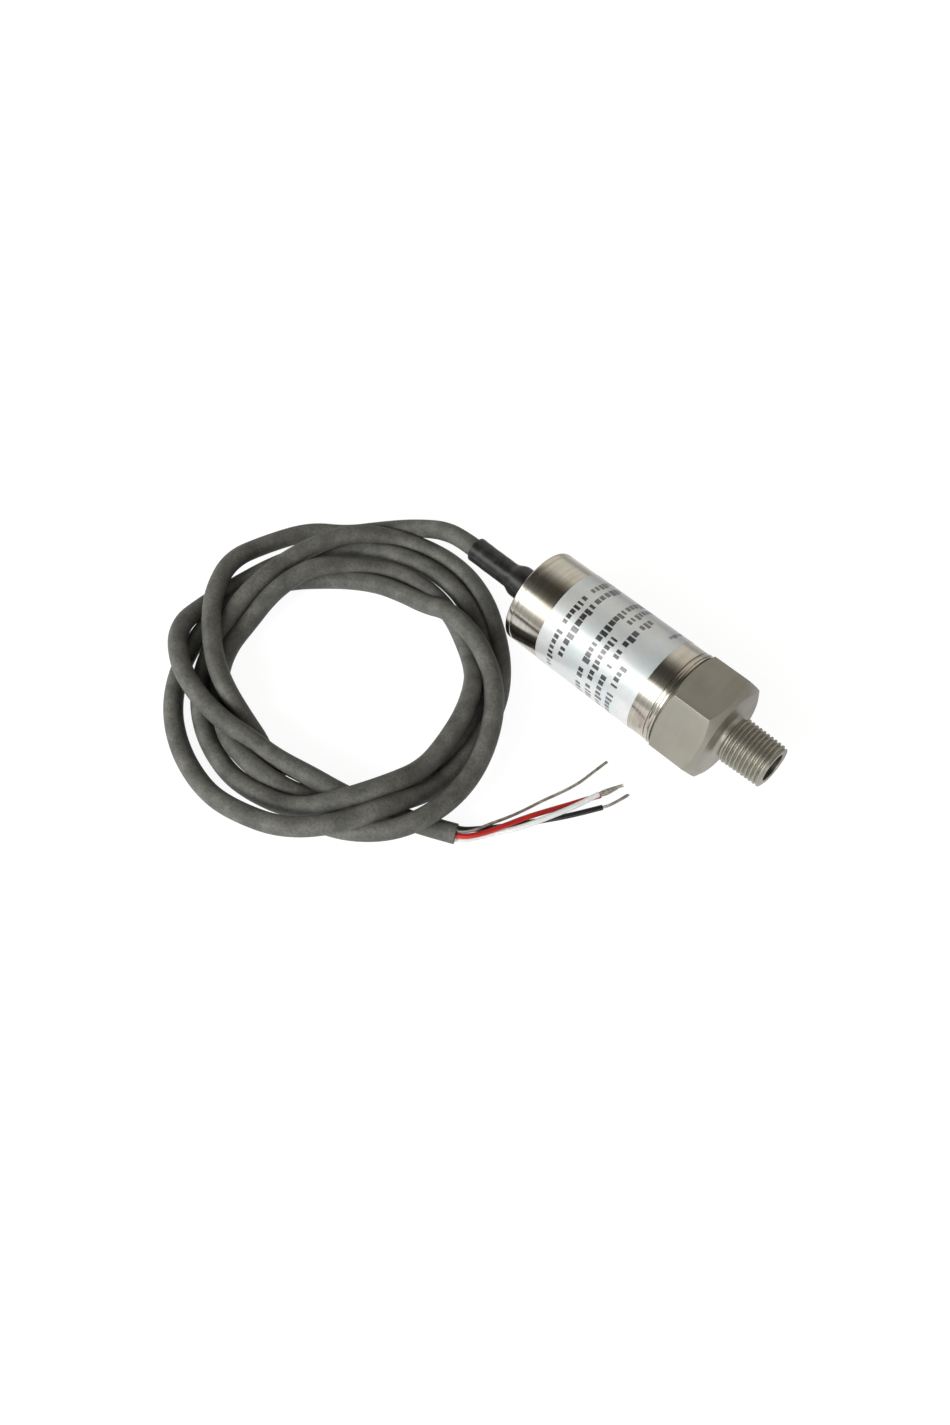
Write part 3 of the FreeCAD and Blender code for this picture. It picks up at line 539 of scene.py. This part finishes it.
def print_on_label():
    """Rows of plain blocks in the place of words, bent round the label in a few parts each."""
    radius = CAN_RADIUS + PRINT_HEIGHT
    corners, faces = [], []
    parts = 4
    for low, high, words in PRINT:
        for first, letters, pitch, inked in words:
            for k in range(letters):
                top = low + (high - low) * BLOCK_HEIGHTS[(k * 4 + letters) % len(BLOCK_HEIGHTS)]
                start = first - k * pitch
                width = pitch * inked * BLOCK_WIDTHS[(k * 3 + letters) % len(BLOCK_WIDTHS)]
                base = len(corners)
                for j in range(parts + 1):
                    angle = start - width * j / parts
                    corners += [around(low, radius, angle), around(top, radius, angle)]
                for at in range(base, base + 2 * parts, 2):
                    faces.append((at, at + 1, at + 3, at + 2))
    mesh_piece("label_print", corners, faces, INK)


port()
can()
label()
print_on_label()
boot()

# ---------------------------------------------------------------- cable

# Steps between two points of a curve, on the pieces and on the guides for strands.
CURVE_STEPS, GUIDE_STEPS = 8, 10
CABLE_EXIT = (-41, 0, 11.1)
LEAD = [CABLE_EXIT, (-46, 0.1, 11), (-52, 0.6, 8.1), (-57.5, 0.4, 4.5), (-62.5, -1.7, 2.3),
        (-66.8, -6.6, 2.15), (-71.3, -12.4, 2.15)]
COIL_MIDDLE = (-43, -38)
# The angle at which the coil starts and the angle from one of its points to the next.
COIL_START, COIL_STEP = 150, 15
# How far the cable lies from the coil's middle, at every 30 degrees from the start. A row is a turn.
REACH_STEP = 30
REACH = (
    41, 39.5, 31.5, 27, 26, 36.5, 44, 38.5, 32.5, 27, 23.5, 24,
    26, 32, 36, 39.5, 41.5, 44, 38.5, 34, 33.5, 33.5, 36.5, 37.5,
    33, 30, 31.5, 33.5, 35.5, 38, 35, 30, 28, 26, 27, 28.5,
    27, 26, 28, 29.5, 31.5, 34, 31.5, 30.5, 30, 30, 32, 33.5,
    34.5, 35.5, 39.5, 33, 28, 29.5)
# Where the cable lies over its other turns: from one angle to another, raised by so many diameters. It
# rises and sinks over EASE degrees.
CLIMBS = (
    (182, 238, 1.05), (326, 340, 1.25), (370, 432, 1), (652, 686, 1.75), (858, 905, 1), (1010, 1028, 1),
    (1032, 1048, 2), (1048, 1108, 1), (1232, 1252, 1), (1357, 1370, 1), (1655, 1730, 1))
EASE = 24
TAIL = [(-27, -63.4, 6.6), (-20.8, -62.3, 6.9), (-15.2, -60.4, 6.1), (-10, -57.2, 4), (-4.4, -54.3, 2.5),
        (1.8, -51, 2.2)]


def height_at(angle):
    """How high the cable's middle lies at an angle along the coil, easing over each crossing."""
    lift = 0
    for first, last, diameters in CLIMBS:
        gap = min(max(first - angle, angle - last, 0) / EASE, 1)
        lift = max(lift, diameters * (1 + math.cos(math.pi * gap)) / 2)
    return CABLE / 2 + CABLE * lift


def reach_at(step):
    """The distance from the coil's middle, smooth between the chosen ones."""
    i = int(step)
    at = [REACH[min(max(k, 0), len(REACH) - 1)] for k in (i - 1, i, i + 1, i + 2)]
    t = step - i
    return at[1] + t / 2 * (at[2] - at[0] + t * (2 * at[0] - 5 * at[1] + 4 * at[2] - at[3]
                                                 + t * (3 * (at[1] - at[2]) + at[3] - at[0])))


def coil_points():
    """The coil's turns, point by point."""
    points = []
    for k in range((len(REACH) - 1) * REACH_STEP // COIL_STEP):
        angle = COIL_START + k * COIL_STEP
        reach = reach_at(k * COIL_STEP / REACH_STEP)
        points.append((COIL_MIDDLE[0] + reach * math.cos(math.radians(angle)),
                       COIL_MIDDLE[1] + reach * math.sin(math.radians(angle)), height_at(angle)))
    return points


def soft_curve(name, points, radius, steps=CURVE_STEPS):
    """An open smooth curve with the points as its control points, round with the radius if that isn't 0."""
    data = bpy.data.curves.new(name, "CURVE")
    data.dimensions = "3D"
    data.resolution_u = steps
    data.bevel_depth = radius * MM
    data.bevel_resolution = 6
    data.use_fill_caps = True
    spline = data.splines.new("NURBS")
    spline.points.add(len(points) - 1)
    for knot, point in zip(spline.points, points):
        knot.co = (*[c * MM for c in point], 1)
    spline.order_u = 3
    spline.use_endpoint_u = True
    piece = bpy.data.objects.new(name, data)
    scene.collection.objects.link(piece)
    return piece


def line_of(points):
    """The places along the smooth curve that the points make, in millimetres."""
    guide = soft_curve("guide", points, 0, GUIDE_STEPS)
    mesh = bpy.data.meshes.new_from_object(guide)
    line = [v.co / MM for v in mesh.vertices]
    bpy.data.objects.remove(guide)
    bpy.data.meshes.remove(mesh)
    return line


def cable_piece(name, points, diameter, look):
    """A round cable or wire along the smooth curve of its points."""
    piece = soft_curve(name, points, diameter / 2)
    piece.data.materials.append(look)
    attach(piece, "root")
    return piece


cable = cable_piece("free_cable", LEAD + coil_points() + TAIL, CABLE, JACKET)
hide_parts("cable_lead", "cable_coil", "cable_tail")

# ---------------------------------------------------------------- wires

# The cable's cut end and the way in which it points.
CUT_END = Vector(TAIL[-1])
CUT_ALONG = Vector((0.882, 0.467, -0.065)).normalized()
# Each wire leaves the cut at its own spot, given aside and up from the middle, runs straight for a little
# and then through its points. A further point shows where its bare strands end.
STRAIGHT_START = 1.2
WIRES = {
    "black": ((1.1, 0.5), [
        (4.2, -46.8, 1.7), (6.3, -43.7, 0.8), (8.8, -40.2, 0.6), (12.2, -35.8, 0.6), (15.6, -31, 0.6),
        (18.9, -25.4, 0.6)], (20.9, -19.3, 0.45), BLACK),
    "red": ((-0.5, 0.5), [
        (4.8, -49, 2.6), (6.4, -46, 2.4), (7.8, -42.5, 2.1), (9.6, -38, 1.8), (11.7, -33.5, 1.2),
        (13.8, -29.3, 0.8), (15.2, -26.4, 0.65), (16.9, -23.6, 0.8)], (18.2, -19.2, 0.5), RED),
    "white": ((-0.8, -0.7), [
        (4.6, -48.7, 0.8), (6.8, -45, 0.8), (9, -42.2, 1.2), (11.1, -39, 1.9), (12.8, -35.4, 2.2),
        (14.7, -31, 2.3), (15.9, -27.4, 2.2), (16.8, -24.3, 2.2)], (19, -19, 1.6), WHITE),
}
DRAIN_ROUTE = ((0.35, 0.8), [
    (4.2, -48.1, 2.9), (5.3, -44.6, 2.3), (6.7, -40.6, 1.4), (7.8, -36.6, 0.7), (8.9, -32.4, 0.4),
    (10.5, -28.2, 0.4), (11.7, -24, 0.5), (12, -20.4, 0.4), (12.5, -16.4, 0.35)])
STRANDS_EACH = 7
# The length between the places along a wire's strands, and along the drain wire's.
STRAND_STEP, DRAIN_STEP = 0.12, 0.15


def fan_out(spot, route):
    """A wire's route from its own spot on the cable's cut face."""
    aside = Vector((0, 0, 1)).cross(CUT_ALONG).normalized()
    start = CUT_END + aside * spot[0] + CUT_ALONG.cross(aside) * spot[1]
    return [tuple(start), tuple(start + CUT_ALONG * STRAIGHT_START)] + list(route)


def frames_along(line):
    """At each place of a line, two directions square to it that don't twist on the way."""
    side = Vector((0, 0, 1))
    out = []
    for i, place in enumerate(line):
        ahead = (line[min(i + 1, len(line) - 1)] - line[max(i - 1, 0)]).normalized()
        side = (side - ahead * side.dot(ahead)).normalized()
        out.append((place, side, ahead.cross(side)))
    return out


def ring_round(place, u, v, radius, sides):
    """A small ring of corners about a place, in the plane of two directions."""
    angles = [2 * math.pi * j / sides for j in range(sides)]
    return [tuple(place + (u * math.cos(a) + v * math.sin(a)) * radius) for a in angles]


def strand_bundle(name, line, strand, bundle, pitch, splay):
    """Fine strands twisted round a middle one along a line.

    They have the strand's radius and lie at the bundle's radius. Over the last part of the line they splay
    outwards, some more than others, and then end unevenly too.
    """
    sides = 7
    splay_from = 0.6
    corners, faces = [], []
    travelled = [0]
    for a, b in zip(line, line[1:]):
        travelled.append(travelled[-1] + (b - a).length)
    for k in range(STRANDS_EACH):
        own = []
        for (place, u, v), s in zip(frames_along(line), travelled):
            turn = 2 * math.pi * (s / pitch + k / (STRANDS_EACH - 1))
            part = max(0, s / travelled[-1] - splay_from) / (1 - splay_from)
            loose = 0.4 + 0.6 * ((k * 5) % 3) / 2
            out = 0 if k == STRANDS_EACH - 1 else bundle * (1 + splay * part * part * loose)
            own.append(place + u * out * math.cos(turn) + v * out * math.sin(turn))
        keep = len(own) - (0 if splay == 0 else (k * 3) % 4)
        base = len(corners)
        more_corners, more_faces = skin([
            ring_round(place, u, v, strand, sides) for place, u, v in frames_along(own[:keep])])
        corners += more_corners
        faces += [tuple(base + i for i in face) for face in more_faces]
        faces += [tuple(base + j for j in range(sides)),
                  tuple(base + (keep - 1) * sides + j for j in reversed(range(sides)))]
    return mesh_piece(name, corners, faces, STRANDS)


def dense(line, step):
    """The same line with places at an even small step."""
    out = [line[0]]
    for a, b in zip(line, line[1:]):
        parts = max(1, round((b - a).length / step))
        out += [a.lerp(b, k / parts) for k in range(1, parts + 1)]
    return out


for colour, (spot, route, tip, look) in WIRES.items():
    points = fan_out(spot, route)
    wire = cable_piece(f"{colour}_wire", points, CORE, look)
    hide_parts(f"{colour}_conductor")
    line = line_of(points)
    heading = (line[-1] - line[-2]).normalized()
    last = line[-1]
    end = dense(line_of([tuple(last - heading), tuple(last), tuple(last + heading * 2), tip]), STRAND_STEP)
    bare = strand_bundle(f"{colour}_wire_bare_end", end, strand=0.125, bundle=0.21, pitch=3, splay=0.3)
    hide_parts(f"{colour}_strands")

drain_points = fan_out(*DRAIN_ROUTE)
drain_line = dense(line_of(drain_points), DRAIN_STEP)
drain = strand_bundle("drain_strands", drain_line, strand=0.12, bundle=0.21, pitch=2.6, splay=0)
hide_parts("drain_wire")

# ---------------------------------------------------------------- camera, light and table

CAMERA_PLACE = (87.87, -132.07, 237.20)
# How far the camera looks down, the way that it faces, from +X towards +Y, and its small roll, in degrees.
LOOK_DOWN, LOOK_TOWARDS, ROLL = 57.964, 134.613, -1.165

camera_data = bpy.data.cameras.new("camera")
camera_data.lens = 32.7
camera_data.sensor_width = 36
camera_data.clip_start = 0.01
camera_data.clip_end = 10
camera = bpy.data.objects.new("camera", camera_data)
camera.location = Vector(CAMERA_PLACE) * MM
camera.rotation_mode = "QUATERNION"
aim = Euler((math.radians(90 - LOOK_DOWN), 0, math.radians(LOOK_TOWARDS - 90))).to_matrix()
camera.rotation_quaternion = (aim @ Matrix.Rotation(math.radians(ROLL), 3, "Z")).to_quaternion()
scene.collection.objects.link(camera)
scene.camera = camera


# How much brighter the near panel is than the rest of the room.
PANEL_EXTRA = 1.6


def studio():
    """The light of the room: a wide soft panel on the near side, a dark ceiling and a paler far wall.

    It changes only with the angle round the X axis: 0 is the horizon on the near side, 0.5 overhead and 1 the
    horizon on the far side.
    """
    world = bpy.data.worlds.new("studio")
    scene.world = world
    world.use_nodes = True
    tree = world.node_tree
    direction = add(tree, "ShaderNodeTexCoord").outputs["Generated"]
    parts = add(tree, "ShaderNodeSeparateXYZ", {"Vector": direction})
    nearer = maths(tree, "MULTIPLY", parts.outputs["Y"], -1.0)
    angle = maths(tree, "ARCTAN2", parts.outputs["Z"], nearer)
    share = maths(tree, "DIVIDE", angle, math.pi)
    bands = ramp(tree, share, [
        (0.0, (0.40, 0.39, 0.36)), (0.055, (0.48, 0.47, 0.44)), (0.12, (1.0, 1.0, 0.98)),
        (0.275, (1.0, 1.0, 0.98)), (0.325, (0.16, 0.16, 0.14)), (0.43, (0.06, 0.06, 0.05)),
        (0.54, (0.06, 0.055, 0.05)), (0.62, (0.20, 0.19, 0.17)), (0.74, (0.66, 0.63, 0.57)),
        (0.92, (0.68, 0.65, 0.60)), (1.0, (0.60, 0.58, 0.55))])
    panel = ramp(tree, share, [(0.10, 0), (0.14, 1), (0.27, 1), (0.31, 0)])
    strength = maths(tree, "MULTIPLY_ADD", panel, PANEL_EXTRA, 1.0)
    tree.links.new(bands, tree.nodes["Background"].inputs["Color"])
    tree.links.new(strength, tree.nodes["Background"].inputs["Strength"])


def soft_lamp(name, place, size, power):
    """A square lamp that points at the object, lights what is dull and isn't mirrored by what shines."""
    data = bpy.data.lights.new(name, "AREA")
    data.size = size
    data.energy = power
    lamp = bpy.data.objects.new(name, data)
    lamp.location = place
    lamp.rotation_mode = "QUATERNION"
    lamp.rotation_quaternion = (-Vector(place)).to_track_quat("-Z", "Y")
    lamp.visible_glossy = False
    scene.collection.objects.link(lamp)


# Half the table's breadth, the middle of what lies on it, and the distances from there over which the pool of
# light painted on the table fades from pale to grey. These and the lamp's place and size are in metres.
TABLE_HALF = 3
LAID_OUT = (-0.03, -0.16, 0)
PAINTED_POOL_NEAR, PAINTED_POOL_FAR = 0.17, 0.23
# How brightly the table shows by itself, and the tone that lets shadows show on it.
TABLE_GLOW, TABLE_SHADE = 0.93, 0.14


def table_top():
    """A pale table.

    It is white to the camera apart from soft shadows. A pool of light is painted on it: what shines mirrors
    it as pale near the object and greyer farther off, and its colour is painted the same way, which is also
    how it lights the object from below.
    """
    mesh = bpy.data.meshes.new("table_top")
    corners = [(x * TABLE_HALF, y * TABLE_HALF, 0) for x, y in ((-1, -1), (1, -1), (1, 1), (-1, 1))]
    mesh.from_pydata(corners, [], [(0, 1, 2, 3)])
    piece = bpy.data.objects.new("table_top", mesh)
    scene.collection.objects.link(piece)
    made, tree, shader = material("pale_table", (0.8, 0.8, 0.79), 0.7)
    mesh.materials.append(made)
    place = add(tree, "ShaderNodeTexCoord").outputs["Object"]
    beside = add(tree, "ShaderNodeVectorMath", {0: place, 1: LAID_OUT}, operation="SUBTRACT").outputs[0]
    away = add(tree, "ShaderNodeVectorMath", {0: beside}, operation="LENGTH").outputs["Value"]
    # Painted pool of light: the table's colour is pale near the object and painted greyer farther off.
    link(tree, ramp(tree, away, [(PAINTED_POOL_NEAR, 0.8), (PAINTED_POOL_FAR, 0.35)]), shader, "Base Color")
    path = add(tree, "ShaderNodeLightPath").outputs
    mirrored = maths(tree, "MAXIMUM", path["Is Glossy Ray"], path["Is Transmission Ray"])
    seen = maths(tree, "MAXIMUM", path["Is Camera Ray"], mirrored)
    # Painted pool of light: the camera sees the table white, and what shines sees it pale near the object and
    # greyer farther off.
    white = blend_of(tree, mirrored, (1, 1, 1, 1), ramp(tree, away, [(PAINTED_POOL_NEAR, 0.78), (PAINTED_POOL_FAR, 0.3)]))
    glow = add(tree, "ShaderNodeEmission", {"Color": white, "Strength": TABLE_GLOW})
    shaded = add(tree, "ShaderNodeBsdfDiffuse", {"Color": (*[TABLE_SHADE] * 3, 1)})
    pale = add(tree, "ShaderNodeAddShader", {0: glow.outputs[0], 1: shaded.outputs[0]})
    both = add(tree, "ShaderNodeMixShader", {0: seen, 1: shader.outputs[0], 2: pale.outputs[0]})
    tree.links.new(both.outputs[0], tree.nodes["Material Output"].inputs["Surface"])


studio()
soft_lamp("near_lamp", place=(-0.1, -0.85, 0.45), size=0.35, power=8)
table_top()
